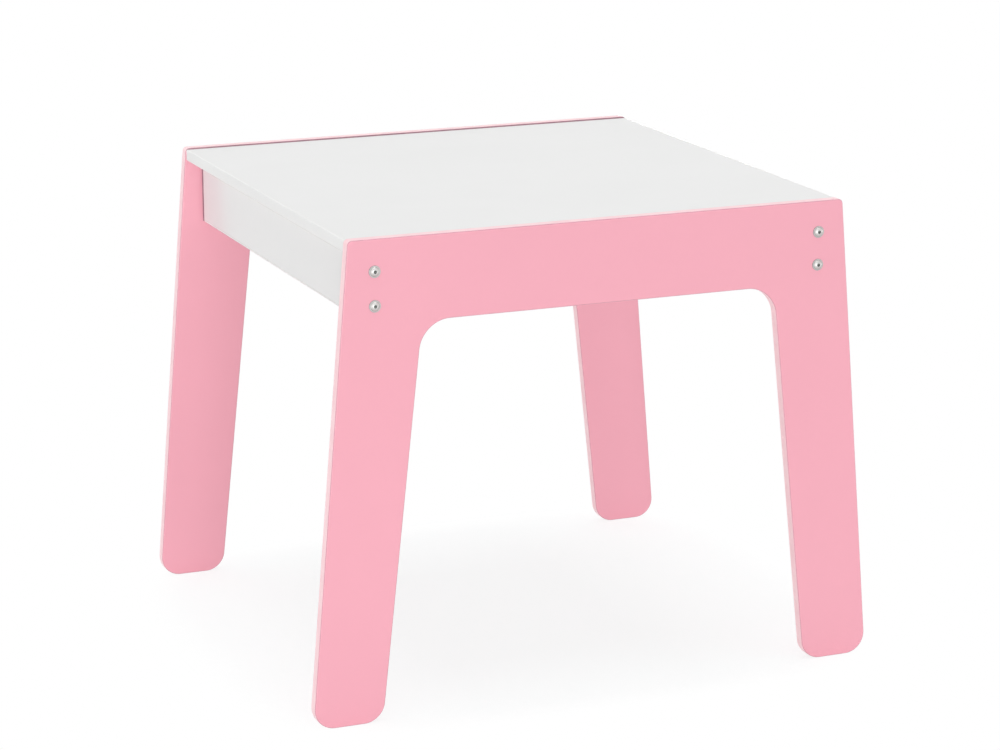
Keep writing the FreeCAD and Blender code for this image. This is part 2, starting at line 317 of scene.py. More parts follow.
def addEffect(tree, group, **values):
    node = tree.nodes.new("ShaderNodeGroup")
    node.node_tree = group
    for label, value in values.items():
        feed(tree, node.inputs[label.replace("_", " ")], value)
    return node.outputs[0]


def addMix(tree, factor, first, second):
    return addNode(tree, "Mix", factor, first, second, data_type="RGBA")


def dressShader(tree, shader, colour, gloss, height, bump, metal=0.0):
    tree.links.new(colour, shader.inputs["Base Color"])
    tree.links.new(gloss, shader.inputs["Roughness"])
    shader.inputs["Metallic"].default_value = metal
    relief = tree.nodes.new("ShaderNodeBump")
    relief.inputs["Strength"].default_value = 1.0
    relief.inputs["Distance"].default_value = bump
    tree.links.new(height, relief.inputs["Height"])
    tree.links.new(relief.outputs["Normal"], shader.inputs["Normal"])


def addAttribute(tree, name):
    node = tree.nodes.new("ShaderNodeAttribute")
    node.attribute_name = name
    return node.outputs["Fac"]


def makePinkLacquer():
    pink = {
        "face": (0.870, 0.396, 0.477, 1),
        "edge": (0.975, 0.690, 0.718, 1),  # painted light: the edges paler, as though lit more strongly than the faces
        "line": (0.360, 0.190, 0.235, 1),  # a darker line on the arrises, and painted shade in the joints and along the seam above the top
        "gloss": 0.34, "bump": 0.00003,
    }
    material, tree, shader, place = newMaterial("pinkLacquer")
    # painted light and shade: paler edges, darker arrises, and painted shade in the joints and above
    # the top
    edge = addAttribute(tree, "boardEdge")
    litEdge = addEffect(tree, paintedLightBreakup, Vector=place, Edge=edge, Scale=45.0, Amount=0.95)
    line = addAttribute(tree, "deepLine")
    line = addEffect(tree, paintedLightBreakup, Vector=place, Edge=line, Scale=70.0, Amount=0.95)
    colour = addMix(tree, litEdge, pink["face"], pink["edge"])
    colour = addMix(tree, line, colour, pink["line"])
    colour = addEffect(tree, toneDrift, Vector=place, Colour=colour, Scale=6.0, Amount=0.012)
    gloss = addEffect(tree, glossDrift, Vector=place, Roughness=pink["gloss"],
                      Spread=0.045, Scale=18.0)
    height = addEffect(tree, skinGrain, Vector=place, Peel_Scale=520.0,
                       Ripple_Scale=40.0, Ripple=0.8)
    dressShader(tree, shader, colour, gloss, height, pink["bump"])
    return material


boardWhite = {
    "face": (0.808, 0.808, 0.802, 1), "drift": 0.008, "driftScale": 5.0, "spread": 0.05,
    "patchScale": 11.0, "peelScale": 1400.0, "ripple": 0.3, "rippleScale": 90.0, "specks": 0.0,
    "bump": 0.00002,
}
bandWhite = {
    "face": (0.818, 0.818, 0.808, 1), "drift": 0.01, "driftScale": 9.0, "spread": 0.04,
    "patchScale": 25.0, "peelScale": 900.0, "ripple": 0.9, "rippleScale": 60.0, "specks": 0.1,
    "bump": 0.00002,
}


def makeWhite(name, white, finish):
    material, tree, shader, place = newMaterial(name)
    colour = addEffect(tree, toneDrift, Vector=place, Colour=white["face"],
                       Scale=white["driftScale"], Amount=white["drift"])
    gloss = addEffect(tree, glossDrift, Vector=place, Roughness=finish,
                      Spread=white["spread"], Scale=white["patchScale"])
    height = addEffect(tree, skinGrain, Vector=place, Peel_Scale=white["peelScale"],
                       Ripple_Scale=white["rippleScale"], Ripple=white["ripple"],
                       Specks=white["specks"])
    dressShader(tree, shader, colour, gloss, height, white["bump"])
    return material


def makeRawBoard():
    raw = {
        "light": (0.52, 0.37, 0.235, 1), "dark": (0.36, 0.235, 0.135, 1),
        "gloss": 0.82, "bump": 0.00008,
    }
    material, tree, shader, place = newMaterial("rawBoard")
    fibres = addEffect(tree, fibreGrain, Vector=place, Stretch=(0.35, 0.35, 1.6), Scale=900.0)
    colour = addMix(tree, fibres, raw["dark"], raw["light"])
    colour = addEffect(tree, toneDrift, Vector=place, Colour=colour, Scale=60.0, Amount=0.08)
    gloss = addEffect(tree, glossDrift, Vector=place, Roughness=raw["gloss"],
                      Spread=0.06, Scale=80.0)
    dressShader(tree, shader, colour, gloss, fibres, raw["bump"])
    return material


def makeBoltSteel():
    steel = {
        "face": (0.60, 0.60, 0.585, 1), "paintedShade": (0.05, 0.055, 0.05, 1),
        "gloss": 0.5, "bump": 0.000008,
    }
    material, tree, shader, place = newMaterial("boltSteel")
    # painted shade: the socket near black, and its mouth, the crease, the flange and its rim darker
    paintedShade = addAttribute(tree, "boltPaintedShade")
    paintedShade = addEffect(tree, paintedLightBreakup, Vector=place, Edge=paintedShade, Scale=900.0, Amount=0.9)
    colour = addMix(tree, paintedShade, steel["face"], steel["paintedShade"])
    colour = addEffect(tree, toneDrift, Vector=place, Colour=colour, Scale=350.0, Amount=0.05)
    gloss = addEffect(tree, glossDrift, Vector=place, Roughness=steel["gloss"],
                      Spread=0.07, Scale=700.0)
    height = addEffect(tree, skinGrain, Vector=place, Peel_Scale=4200.0,
                       Ripple_Scale=700.0, Ripple=0.6, Specks=0.0)
    dressShader(tree, shader, colour, gloss, height, steel["bump"], metal=1.0)
    return material


def makeZincSteel():
    zinc = {
        "light": (0.66, 0.68, 0.70, 1), "dark": (0.50, 0.52, 0.545, 1),
        "gloss": 0.36, "bump": 0.00001,
    }
    material, tree, shader, place = newMaterial("zincSteel")
    clouds = addEffect(tree, fibreGrain, Vector=place, Stretch=(1.0, 1.0, 1.0), Scale=260.0)
    colour = addMix(tree, clouds, zinc["dark"], zinc["light"])
    colour = addEffect(tree, toneDrift, Vector=place, Colour=colour, Scale=120.0, Amount=0.06)
    gloss = addEffect(tree, glossDrift, Vector=place, Roughness=zinc["gloss"],
                      Spread=0.08, Scale=300.0)
    height = addEffect(tree, skinGrain, Vector=place, Peel_Scale=3000.0,
                       Ripple_Scale=400.0, Ripple=0.5, Specks=0.1)
    dressShader(tree, shader, colour, gloss, height, zinc["bump"], metal=1.0)
    return material


def makeDowelWood():
    beech = {
        "light": (0.66, 0.45, 0.27, 1), "dark": (0.47, 0.29, 0.16, 1),
        "gloss": 0.62, "bump": 0.00004,
    }
    material, tree, shader, place = newMaterial("dowelWood")
    grain = addEffect(tree, fibreGrain, Vector=place, Stretch=(1.0, 0.06, 1.0), Scale=1500.0)
    colour = addMix(tree, grain, beech["dark"], beech["light"])
    colour = addEffect(tree, toneDrift, Vector=place, Colour=colour, Scale=70.0, Amount=0.07)
    gloss = addEffect(tree, glossDrift, Vector=place, Roughness=beech["gloss"],
                      Spread=0.07, Scale=200.0)
    dressShader(tree, shader, colour, gloss, grain, beech["bump"])
    return material


pinkLacquer = makePinkLacquer()
whiteBoard = makeWhite("whiteBoard", boardWhite, 0.40)
whiteApron = makeWhite("whiteApron", boardWhite, 0.22)  # smoother facing than the top's
whiteBand = makeWhite("whiteBand", bandWhite, 0.33)
rawBoard = makeRawBoard()
boltSteel = makeBoltSteel()
zincSteel = makeZincSteel()
dowelWood = makeDowelWood()
print("materials made")

# modelling helpers
mergeGap = 1e-6
overrun = 0.001  # how far a cutter stands out of what it cuts
drillSteps = 48
seamSteps = 1
roundProfile = 0.5  # a bevel's quarter circle
threadSet = {  # shares of a pitch, and parts that a pitch is divided by
    "foot": (0.08, 0.92), "crest": (0.42, 0.58), "footSink": 12, "crestDrop": 20,
}


def faceUp(bm):
    bmesh.ops.remove_doubles(bm, verts=bm.verts, dist=mergeGap)
    bmesh.ops.recalc_face_normals(bm, faces=bm.faces)
    bm.normal_update()


def onlyVerts(made):
    return [part for part in made["geom"] if isinstance(part, bmesh.types.BMVert)]


def onlyEdges(made):
    return [part for part in made["geom"] if isinstance(part, bmesh.types.BMEdge)]


def openEdges(bm):
    return [edge for edge in bm.edges if edge.is_boundary]


def sharpEdges(bm, leastAngle):
    return [edge for edge in bm.edges if edge.calc_face_angle(0) > math.radians(leastAngle)]


def rimEdges(bm, axis):
    # the edges that run round a plate's two faces
    return [edge for edge in bm.edges
            if abs((edge.verts[0].co - edge.verts[1].co).dot(axis)) < mergeGap]


def roundCorner(bm, vert, radius, steps):
    first, second = [edge.other_vert(vert).co - vert.co for edge in vert.link_edges]
    reach = radius / math.tan(first.angle(second) / 2)  # from the corner to where the arc starts
    bmesh.ops.bevel(bm, geom=[vert], offset=reach, offset_type="OFFSET", segments=steps,
                    profile=roundProfile, affect="VERTICES", material=-1)


def easeEdges(bm, edges, radius, steps):
    bmesh.ops.bevel(bm, geom=edges, offset=radius, offset_type="OFFSET", segments=steps,
                    profile=roundProfile, affect="EDGES", material=-1)
    bm.normal_update()


def raisePlate(corners, thickness, steps):
    # a flat outline of (point, radius) corners, raised to a closed plate
    bm = bmesh.new()
    verts = [bm.verts.new(point) for point, radius in corners]
    bm.faces.new(verts)
    for vert, (point, radius) in zip(verts, corners):
        if radius > 0:
            roundCorner(bm, vert, radius, steps)
    raised = bmesh.ops.extrude_face_region(bm, geom=bm.faces[:])
    bmesh.ops.translate(bm, vec=thickness, verts=onlyVerts(raised))
    faceUp(bm)
    return bm


def turnProfile(bm, profile, start, axis, steps):
    # (radius, along) points turned a full circle round the axis
    side = axis.orthogonal().normalized()
    verts = [bm.verts.new(start + side * radius + axis * along) for radius, along in profile]
    edges = [bm.edges.new(pair) for pair in zip(verts, verts[1:])]
    bmesh.ops.spin(bm, geom=verts + edges, cent=start, axis=axis, angle=2 * math.pi, steps=steps,
                   use_merge=True)


def drillBits(spots, profile, axis):
    # one closed cutter at each spot
    bm = bmesh.new()
    for spot in spots:
        turnProfile(bm, profile, Vector(spot), axis, drillSteps)
    faceUp(bm)
    return bm


def plainHole(radius, depth):
    return ((0, -overrun), (radius, -overrun), (radius, depth), (0, depth))


def addShell(bm, other):
    mesh = bpy.data.meshes.new("shell")
    other.to_mesh(mesh)
    other.free()
    bm.from_mesh(mesh)
    bpy.data.meshes.remove(mesh)


def addBlock(bm, middle, size):
    block = bmesh.ops.create_cube(bm, size=1)
    bmesh.ops.scale(bm, vec=size, verts=block["verts"])
    bmesh.ops.translate(bm, vec=middle, verts=block["verts"])


def addThread(bm, crest, root, pitch, start, turns, steps):
    # a ridge wound round +Y, its foot sunk a little into the core
    foot = root - pitch / threadSet["footSink"]
    (footStart, footEnd), (crestStart, crestEnd) = threadSet["foot"], threadSet["crest"]
    section = ((foot, footStart), (crest, crestStart), (crest, crestEnd), (foot, footEnd))
    verts = [bm.verts.new((radius, start + share * pitch, 0)) for radius, share in section]
    face = bm.faces.new(verts)
    bmesh.ops.spin(bm, geom=verts + face.edges[:] + [face], cent=(0, 0, 0), axis=yAxis,
                   dvec=(0, pitch / steps, 0), angle=2 * math.pi * turns, steps=steps * turns)


def carve(bm, cutter, finishes=()):
    # takes the cutter out of the shape, and the cut faces get the last finish
    items = []
    for shell, ownFinishes in ((bm, finishes), (cutter, finishes[-1:])):
        mesh = bpy.data.meshes.new("carving")
        shell.to_mesh(mesh)
        shell.free()
        for finish in ownFinishes:
            mesh.materials.append(finish)
        item = bpy.data.objects.new("carving", mesh)
        scene.collection.objects.link(item)
        items.append(item)
    cut = items[0].modifiers.new("carve", "BOOLEAN")
    cut.operation = "DIFFERENCE"
    cut.solver = "EXACT"
    cut.material_mode = "TRANSFER"
    cut.object = items[1]
    finished = items[0].evaluated_get(bpy.context.evaluated_depsgraph_get())
    shaped = bpy.data.meshes.new_from_object(finished)
    carved = bmesh.new()
    carved.from_mesh(shaped)
    bpy.data.meshes.remove(shaped)
    for item in items:
        mesh = item.data
        bpy.data.objects.remove(item)
        bpy.data.meshes.remove(mesh)
    return carved


def keepBehind(bm, point, normal, seam, cutFinish):
    # keeps what lies behind the plane, closes it and eases the new edge a little
    everything = bm.verts[:] + bm.edges[:] + bm.faces[:]
    cut = bmesh.ops.bisect_plane(bm, geom=everything, plane_co=point, plane_no=normal,
                                 clear_outer=True)
    rim = [part for part in cut["geom_cut"] if isinstance(part, bmesh.types.BMEdge)]
    for face in bmesh.ops.holes_fill(bm, edges=rim, sides=0)["faces"]:
        face.material_index = cutFinish
    bmesh.ops.recalc_face_normals(bm, faces=bm.faces)
    easeEdges(bm, rim, seam, seamSteps)


def placeCopies(shape, places):
    mesh = bpy.data.meshes.new("copies")
    shape.to_mesh(mesh)
    bm = bmesh.new()
    for place in places:
        known = len(bm.verts)
        bm.from_mesh(mesh)
        bm.verts.ensure_lookup_table()
        bmesh.ops.transform(bm, matrix=place, verts=bm.verts[known:])
    bpy.data.meshes.remove(mesh)
    return bm


def finishPiece(name, bm, finishes, node, flatFaces=False, smoothAngle=35):
    mesh = bpy.data.meshes.new(name)
    bm.to_mesh(mesh)
    bm.free()
    for finish in finishes:
        mesh.materials.append(finish)
    mesh.shade_smooth()
    mesh.set_sharp_from_angle(angle=math.radians(smoothAngle))
    piece = bpy.data.objects.new(name, mesh)
    scene.collection.objects.link(piece)
    if flatFaces:
        piece.modifiers.new("flatFaces", "WEIGHTED_NORMAL").keep_sharp = True
    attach(piece, "root")
    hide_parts(node)


def nodeBox(node):
    low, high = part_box(node)
    return Vector(low), Vector(high)


def bothEnds(low, high, inset):
    return low + inset, high - inset


def turnedTo(axis):
    # turns a shape made along +Y to another axis
    return yAxis.rotation_difference(axis).to_matrix().to_4x4()


# bolts: flanged button heads with a hexagon socket, made along +Y from the top of the head
boltSet = {
    "flangeRadius": 0.0059, "flangeHeight": 0.0008, "flangeEase": 0.0002,
    "crownRadius": 0.00475, "crownSteps": 7, "crease": 0.0004, "flatRadius": 0.0022,
    "headHeight": 0.00275, "shankRadius": 0.0025, "tipChamfer": 0.0008, "turnSteps": 48,
    "threadRoot": 0.00205, "pitch": 0.0008, "threadTurns": 30, "threadSteps": 18,
    "mouthRadius": 0.0019, "mouthDepth": 0.00015, "socketSides": 6, "socketRadius": 0.0017321,
    "socketDepth": 0.0016, "socketPoint": 0.0005,
    "mouthTone": 0.2, "creaseTone": 0.75, "flangeTone": 0.12, "rimTone": 0.6,  # shares of painted shade
    "holeFit": 0.00025, "holeRim": 0.00025, "endRoom": 0.003,
}
boltLow, boltHigh = nodeBox("front_frame_bolts")
boltLength = boltHigh.y - boltLow.y
boltSpots = [(x, z) for x in bothEnds(boltLow.x, boltHigh.x, boltSet["flangeRadius"])
             for z in bothEnds(boltLow.z, boltHigh.z, boltSet["flangeRadius"])]


def crownProfile():
    # the dome from the flat round the socket down to the flange, part of a ball
    size = boltSet
    drop = size["headHeight"] - size["flangeHeight"]
    centre = (size["crownRadius"] ** 2 - size["flatRadius"] ** 2 + drop ** 2) / (2 * drop)
    ball = math.hypot(size["flatRadius"], centre)
    first, last = math.asin(size["flatRadius"] / ball), math.asin(size["crownRadius"] / ball)
    steps = size["crownSteps"]
    turns = [first + (last - first) * step / steps for step in range(steps + 1)]
    return [(ball * math.sin(turn), centre - ball * math.cos(turn)) for turn in turns]


def makeBolt():
    size = boltSet
    bm = bmesh.new()
    seat = size["headHeight"]
    flangeTop = seat - size["flangeHeight"]
    threadStart = boltLength - size["pitch"] * size["threadTurns"]
    tip = boltLength - size["tipChamfer"]
    profile = [(size["mouthRadius"], 0)] + crownProfile() + [
        (size["flangeRadius"] - size["flangeEase"], flangeTop),
        (size["flangeRadius"], flangeTop + size["flangeEase"]), (size["flangeRadius"], seat),
        (size["shankRadius"], seat), (size["shankRadius"], threadStart - size["tipChamfer"]),
        (size["threadRoot"], threadStart), (size["threadRoot"], tip),
        (size["threadRoot"] - size["tipChamfer"], boltLength), (0, boltLength),
    ]
    turnProfile(bm, profile, Vector(), yAxis, size["turnSteps"])
    faceUp(bm)
    mouth = openEdges(bm)
    corners = size["socketSides"]
    ring = bmesh.ops.create_circle(bm, segments=corners, radius=size["socketRadius"])["verts"]
    bmesh.ops.rotate(bm, matrix=Matrix.Rotation(math.pi / 2, 3, "X"), verts=ring)
    bmesh.ops.translate(bm, vec=yAxis * size["mouthDepth"], verts=ring)
    sides = list({edge for vert in ring for edge in vert.link_edges})
    bmesh.ops.subdivide_edges(bm, edges=sides, cuts=size["turnSteps"] // corners - 1)
    hexagon = [edge for edge in bm.edges if edge.is_wire]
    bmesh.ops.bridge_loops(bm, edges=mouth + hexagon)
    darkMask = bm.faces.layers.float.new("boltPaintedShade")
    walls = bmesh.ops.extrude_edge_only(bm, edges=openEdges(bm))
    wallDepth = size["socketDepth"] - size["mouthDepth"]
    bmesh.ops.translate(bm, vec=yAxis * wallDepth, verts=onlyVerts(walls))
    floor = bmesh.ops.holes_fill(bm, edges=openEdges(bm), sides=0)["faces"]
    point = bmesh.ops.poke(bm, faces=floor)["verts"]
    bmesh.ops.translate(bm, vec=yAxis * size["socketPoint"], verts=point)
    faceUp(bm)
    # painted shade in the socket and its mouth, at the crease, on the flange and on its rim
    for face in bm.faces:
        middle = face.calc_center_median()
        reach = math.hypot(middle.x, middle.z)
        if middle.y > seat:
            continue
        if reach < size["mouthRadius"]:
            face[darkMask] = 1.0 if middle.y > size["mouthDepth"] else size["mouthTone"]
        elif reach > size["flangeRadius"] - size["flangeEase"]:
            face[darkMask] = size["rimTone"]
        elif reach > size["crownRadius"]:
            face[darkMask] = size["flangeTone"]
        elif middle.y > flangeTop - size["crease"]:
            face[darkMask] = size["creaseTone"]
    crest = size["shankRadius"] - size["pitch"] / threadSet["crestDrop"]
    addThread(bm, crest, size["threadRoot"], size["pitch"], threadStart, size["threadTurns"] - 1,
              size["threadSteps"])
    bmesh.ops.recalc_face_normals(bm, faces=bm.faces)
    return bm


def makeBolts():
    bolt = makeBolt()
    for name, node, into in (("frontBolts", "front_frame_bolts", yAxis),
                             ("rearBolts", "rear_frame_bolts", -yAxis)):
        low, high = nodeBox(node)
        face = low.y if into.y > 0 else high.y
        turn = Matrix.Rotation(0 if into.y > 0 else math.pi, 4, "Z")
        places = [Matrix.Translation((x, face, z)) @ turn for x, z in boltSpots]
        finishPiece(name, placeCopies(bolt, places), (boltSteel,), node)
    bolt.free()


makeBolts()
print("bolts made")

# barrel nuts: cross-drilled cylinders with a screwdriver slot, made along +X from the slotted end
nutSet = {
    "radius": 0.005, "chamfer": 0.0004, "slotWidth": 0.0012, "slotDepth": 0.0012,
    "boreRadius": 0.0026, "turnSteps": 48, "holeFit": 0.00015,
}


def nutPlaces(node):
    # centres of a side's four nuts
    low, high = nodeBox(node)
    levels = sorted({z for x, z in boltSpots})
    rows = bothEnds(low.y, high.y, nutSet["radius"])
    return [Vector(((low.x + high.x) / 2, y, z)) for y in rows for z in levels]


def makeNut(length):
    size = nutSet
    half = length / 2
    rim = size["radius"] - size["chamfer"]
    side = half - size["chamfer"]
    bm = bmesh.new()
    profile = ((0, -half), (rim, -half), (size["radius"], -side),
               (size["radius"], side), (rim, half), (0, half))
    turnProfile(bm, profile, Vector(), xAxis, size["turnSteps"])
    faceUp(bm)
    across = size["radius"] + overrun
    tools = drillBits([-yAxis * across], plainHole(size["boreRadius"], 2 * across), yAxis)
    reach = size["slotDepth"] + overrun
    slot = bmesh.new()
    addBlock(slot, xAxis * (reach / 2 - half - overrun), (reach, 2 * across, size["slotWidth"]))
    bm = carve(bm, tools)
    return carve(bm, slot)


def makeNuts():
    low, high = nodeBox("left_apron_barrel_nuts")
    nut = makeNut(high.x - low.x)
    for name, node, turn in (("leftNuts", "left_apron_barrel_nuts", math.pi),
                             ("rightNuts", "right_apron_barrel_nuts", 0)):
        turned = Matrix.Rotation(turn, 4, "Z")
        places = [Matrix.Translation(centre) @ turned for centre in nutPlaces(node)]
        finishPiece(name, placeCopies(nut, places), (zincSteel,), node)
    nut.free()


makeNuts()
print("barrel nuts made")

# dowels: fluted beech pins, made along +Y
dowelSet = {
    "radius": 0.003, "flutes": 16, "fluteSteps": 3, "fluteDepth": 0.00028, "chamfer": 0.0008,
    "smoothAngle": 20, "holeFit": 0.00015, "endRoom": 0.0005,
}
dowelLow, dowelHigh = nodeBox("front_top_dowels")
dowelLevel = (dowelLow.z + dowelHigh.z) / 2
dowelSpots = [(x, dowelLevel) for x in bothEnds(dowelLow.x, dowelHigh.x, dowelSet["radius"])]


def makeDowel(length):
    size = dowelSet
    bm = bmesh.new()
    corners = size["flutes"] * size["fluteSteps"]
    ring = bmesh.ops.create_circle(bm, segments=corners, radius=size["radius"])["verts"]
    grooves = 1 - size["fluteDepth"] / size["radius"]
    bmesh.ops.scale(bm, vec=(grooves, grooves, 1), verts=ring[::size["fluteSteps"]])
    bmesh.ops.rotate(bm, matrix=Matrix.Rotation(math.pi / 2, 3, "X"), verts=ring)
    narrow = 1 - size["chamfer"] / size["radius"]
    bmesh.ops.scale(bm, vec=(narrow, 1, narrow), verts=ring)
    edges = bm.edges[:]
    straight = length - 2 * size["chamfer"]
    for step, spread in ((size["chamfer"], 1 / narrow), (straight, 1), (size["chamfer"], narrow)):
        grown = bmesh.ops.extrude_edge_only(bm, edges=edges)
        bmesh.ops.translate(bm, vec=yAxis * step, verts=onlyVerts(grown))
        bmesh.ops.scale(bm, vec=(spread, 1, spread), verts=onlyVerts(grown))
        edges = onlyEdges(grown)
    bmesh.ops.holes_fill(bm, edges=openEdges(bm), sides=0)
    faceUp(bm)
    return bm


def makeDowels():
    dowel = makeDowel(dowelHigh.y - dowelLow.y)
    for name, node in (("frontDowels", "front_top_dowels"), ("rearDowels", "rear_top_dowels")):
        low, high = nodeBox(node)
        places = [Matrix.Translation((x, low.y, z)) for x, z in dowelSpots]
        finishPiece(name, placeCopies(dowel, places), (dowelWood,), node,
                    smoothAngle=dowelSet["smoothAngle"])
    dowel.free()


makeDowels()
print("dowels made")

# angle brackets: bent strip under the top and down the apron's inner face
bracketSet = {
    "thickness": 0.0016, "bendRadius": 0.0015, "bendSteps": 8, "endRadius": 0.003, "endSteps": 6,
    "arris": 0.0002, "arrisSteps": 2, "arrisAngle": 60, "holeRadius": 0.0021, "holeRim": 0.0002,
}


def bracketHole():
    rim = bracketSet["holeRim"]
    radius = bracketSet["holeRadius"]
    wall = bracketSet["thickness"]
    return ((0, -overrun), (radius + rim + overrun, -overrun), (radius, rim), (radius, wall - rim),
            (radius + rim + overrun, wall + overrun), (0, wall + overrun))


def makeBracket(name, node):
    size = bracketSet
    low, high = nodeBox(node)
    wall = size["thickness"]
    width = high.y - low.y
    leg = high.x - low.x
    inward = 1 if low.x < 0 else -1  # towards the table's middle
    corner = Vector((low.x if inward > 0 else high.x, low.y, high.z))
    outline = ((0, 0, size["bendRadius"] + wall), (leg, 0, 0), (leg, wall, 0),
               (wall, wall, size["bendRadius"]), (wall, leg, 0), (0, leg, 0))
    corners = [(corner + xAxis * inward * out - zAxis * down, radius)
               for out, down, radius in outline]
    bm = raisePlate(corners, yAxis * width, size["bendSteps"])
    endEdges = [edge for edge in rimEdges(bm, yAxis) if abs(edge.calc_length() - wall) < mergeGap]
    easeEdges(bm, endEdges, size["endRadius"], size["endSteps"])
    easeEdges(bm, sharpEdges(bm, size["arrisAngle"]), size["arris"], size["arrisSteps"])
    holePlace = (leg + wall + size["bendRadius"]) / 2
    middle = (low.y + high.y) / 2
    topHole = Vector((corner.x + inward * holePlace, middle, high.z - wall))
    sideHole = Vector((corner.x + inward * wall, middle, high.z - holePlace))
    bits = drillBits([topHole], bracketHole(), zAxis)
    addShell(bits, drillBits([sideHole], bracketHole(), -inward * xAxis))
    bm = carve(bm, bits)
    finishPiece(name, bm, (zincSteel,), node, flatFaces=True)


for name, node in (("frontLeftBracket", "front_left_bracket"),
                   ("frontRightBracket", "front_right_bracket"),
                   ("rearLeftBracket", "rear_left_bracket"),
                   ("rearRightBracket", "rear_right_bracket")):
    makeBracket(name, node)
print("brackets made")

# bracket screws: pan heads with a cross, made along +Y from the head's seat
screwSet = {
    "radius": 0.00175, "root": 0.0012, "pitch": 0.0012, "turns": 4, "threadSteps": 16,
    "runOut": 1.5,  # pitches from the seat to the thread
    "point": 0.002, "headRadius": 0.0035, "headHeight": 0.0022, "crown": 0.0012, "crownSteps": 5,
    "turnSteps": 40, "crossSpan": 0.004, "crossWidth": 0.0009, "crossDepth": 0.0012,
    "holeFit": 0.0001, "endRoom": 0.0003,
}


def screwPlaces(node):
    # (seat, direction into the board) of four screws
    low, high = nodeBox(node)
    head, height = screwSet["headRadius"], screwSet["headHeight"]
    rows = bothEnds(low.y, high.y, head)
    if node == "bracket_top_screws":
        columns = bothEnds(low.x, high.x, head)
        return [(Vector((x, y, low.z + height)), zAxis) for x in columns for y in rows]
    seat = nodeBox("front_right_bracket")[1].x - bracketSet["thickness"]
    level = (low.z + high.z) / 2
    return [(Vector((side * seat, y, level)), side * xAxis) for side in (-1, 1) for y in rows]


def screwLength(node):
    low, high = nodeBox(node)
    if node == "bracket_top_screws":
        return high.z - low.z - screwSet["headHeight"]
    return high.x - screwPlaces(node)[-1][0].x


def makeScrew(length):
    size = screwSet
    top = -size["headHeight"]
    crown = size["crown"]
    bm = bmesh.new()
    steps = size["crownSteps"]
    quarter = [math.pi / 2 * step / steps for step in range(steps + 1)]
    crownArc = [(size["headRadius"] - crown + crown * math.sin(turn),
                 top + crown - crown * math.cos(turn)) for turn in quarter]
    start = size["pitch"] * size["runOut"]
    profile = [(0, top)] + crownArc + [(size["headRadius"], 0), (size["radius"], 0)]
    profile += [(size["radius"], size["pitch"]), (size["root"], start)]
    profile += [(size["root"], length - size["point"]), (0, length)]
    turnProfile(bm, profile, Vector(), yAxis, size["turnSteps"])
    faceUp(bm)
    depth = size["crossDepth"] + overrun
    for across in ((size["crossSpan"], depth, size["crossWidth"]),
                   (size["crossWidth"], depth, size["crossSpan"])):
        cutter = bmesh.new()
        addBlock(cutter, yAxis * (top - overrun + depth / 2), across)
        bm = carve(bm, cutter)
    addThread(bm, size["radius"], size["root"], size["pitch"], start, size["turns"],
              size["threadSteps"])
    bmesh.ops.recalc_face_normals(bm, faces=bm.faces)
    return bm


def makeScrews(name, node):
    screw = makeScrew(screwLength(node))
    places = [Matrix.Translation(seat) @ turnedTo(into) for seat, into in screwPlaces(node)]
    finishPiece(name, placeCopies(screw, places), (zincSteel,), node)
    screw.free()


def pilotBits(node, side=0):
    # cutters for the screws of one side, or of both
    depth = screwLength(node) + screwSet["endRoom"]
    hole = plainHole(screwSet["radius"] + screwSet["holeFit"], depth)
    bits = bmesh.new()
    for seat, into in screwPlaces(node):
        if seat.x * side >= 0:
            addShell(bits, drillBits([seat], hole, into))
    return bits


makeScrews("topScrews", "bracket_top_screws")
makeScrews("apronScrews", "bracket_apron_screws")
print("screws made")

# side frames: one board each, rail and two splayed legs
frameSet = {
    "topHalf": 0.261, "footHalf": 0.30196, "rail": 0.083, "legRoot": 0.0815, "legFoot": 0.072,
    "cornerRadius": 0.005, "footRadius": 0.021, "openingRadius": 0.0315, "cornerSteps": 20,
    "arris": 0.0014, "arrisSteps": 4, "seamDrop": 0.001,
    "edgeLean": 0.2, "sideLean": 0.5, "flatLean": 0.98,  # which faces are edge, side and flat
    "arrisTone": 0.45, "jointShade": 0.9,  # shares of the dark line: darker arrises, and painted shade on the inner face behind the apron's end
}


def splitPlate(bm, point, normal):
    everything = bm.verts[:] + bm.edges[:] + bm.faces[:]
    bmesh.ops.bisect_plane(bm, geom=everything, plane_co=point, plane_no=normal)


def boltHole(thickness):
    shank, rim = boltSet["shankRadius"] + boltSet["holeFit"], boltSet["holeRim"]
    return ((0, -overrun), (shank + rim + overrun, -overrun), (shank, rim),
            (shank, thickness + overrun), (0, thickness + overrun))


def markBoard(bm, outward):
    # masks of the paler edges (painted light), the darker arrises, and painted shade in the joints on
    # the inside and above the top
    size = frameSet
    seamLevel = nodeBox("table_top")[1].z - size["seamDrop"]
    splitPlate(bm, zAxis * seamLevel, zAxis)
    apronLow, apronHigh = nodeBox("left_apron")
    apronLow.z = nodeBox("left_apron_edge_band")[0].z
    for x in (apronLow.x, apronHigh.x):
        splitPlate(bm, xAxis * x, xAxis)
        splitPlate(bm, xAxis * -x, xAxis)
    for z in (apronLow.z, apronHigh.z):
        splitPlate(bm, zAxis * z, zAxis)
    edgeMask = bm.faces.layers.float.new("boardEdge")
    lineMask = bm.faces.layers.float.new("deepLine")
    for face in bm.faces:
        lean = abs(face.normal.y)
        middle = face.calc_center_median()
        onInside = lean > size["sideLean"] and face.normal.dot(outward) < 0
        besideApron = apronLow.x < -abs(middle.x) < apronHigh.x
        # painted light: the edge faces get the paler colour
        face[edgeMask] = 1.0 if lean < size["edgeLean"] else 0.0
        face[lineMask] = size["arrisTone"] if size["edgeLean"] < lean < size["flatLean"] else 0.0
        # painted shade: the inner face behind the apron's end and the strip above the top are darkened
        if onInside and besideApron and apronLow.z < middle.z < apronHigh.z:
            face[lineMask] = size["jointShade"]
        elif onInside and middle.z > seamLevel:
            face[lineMask] = 1.0


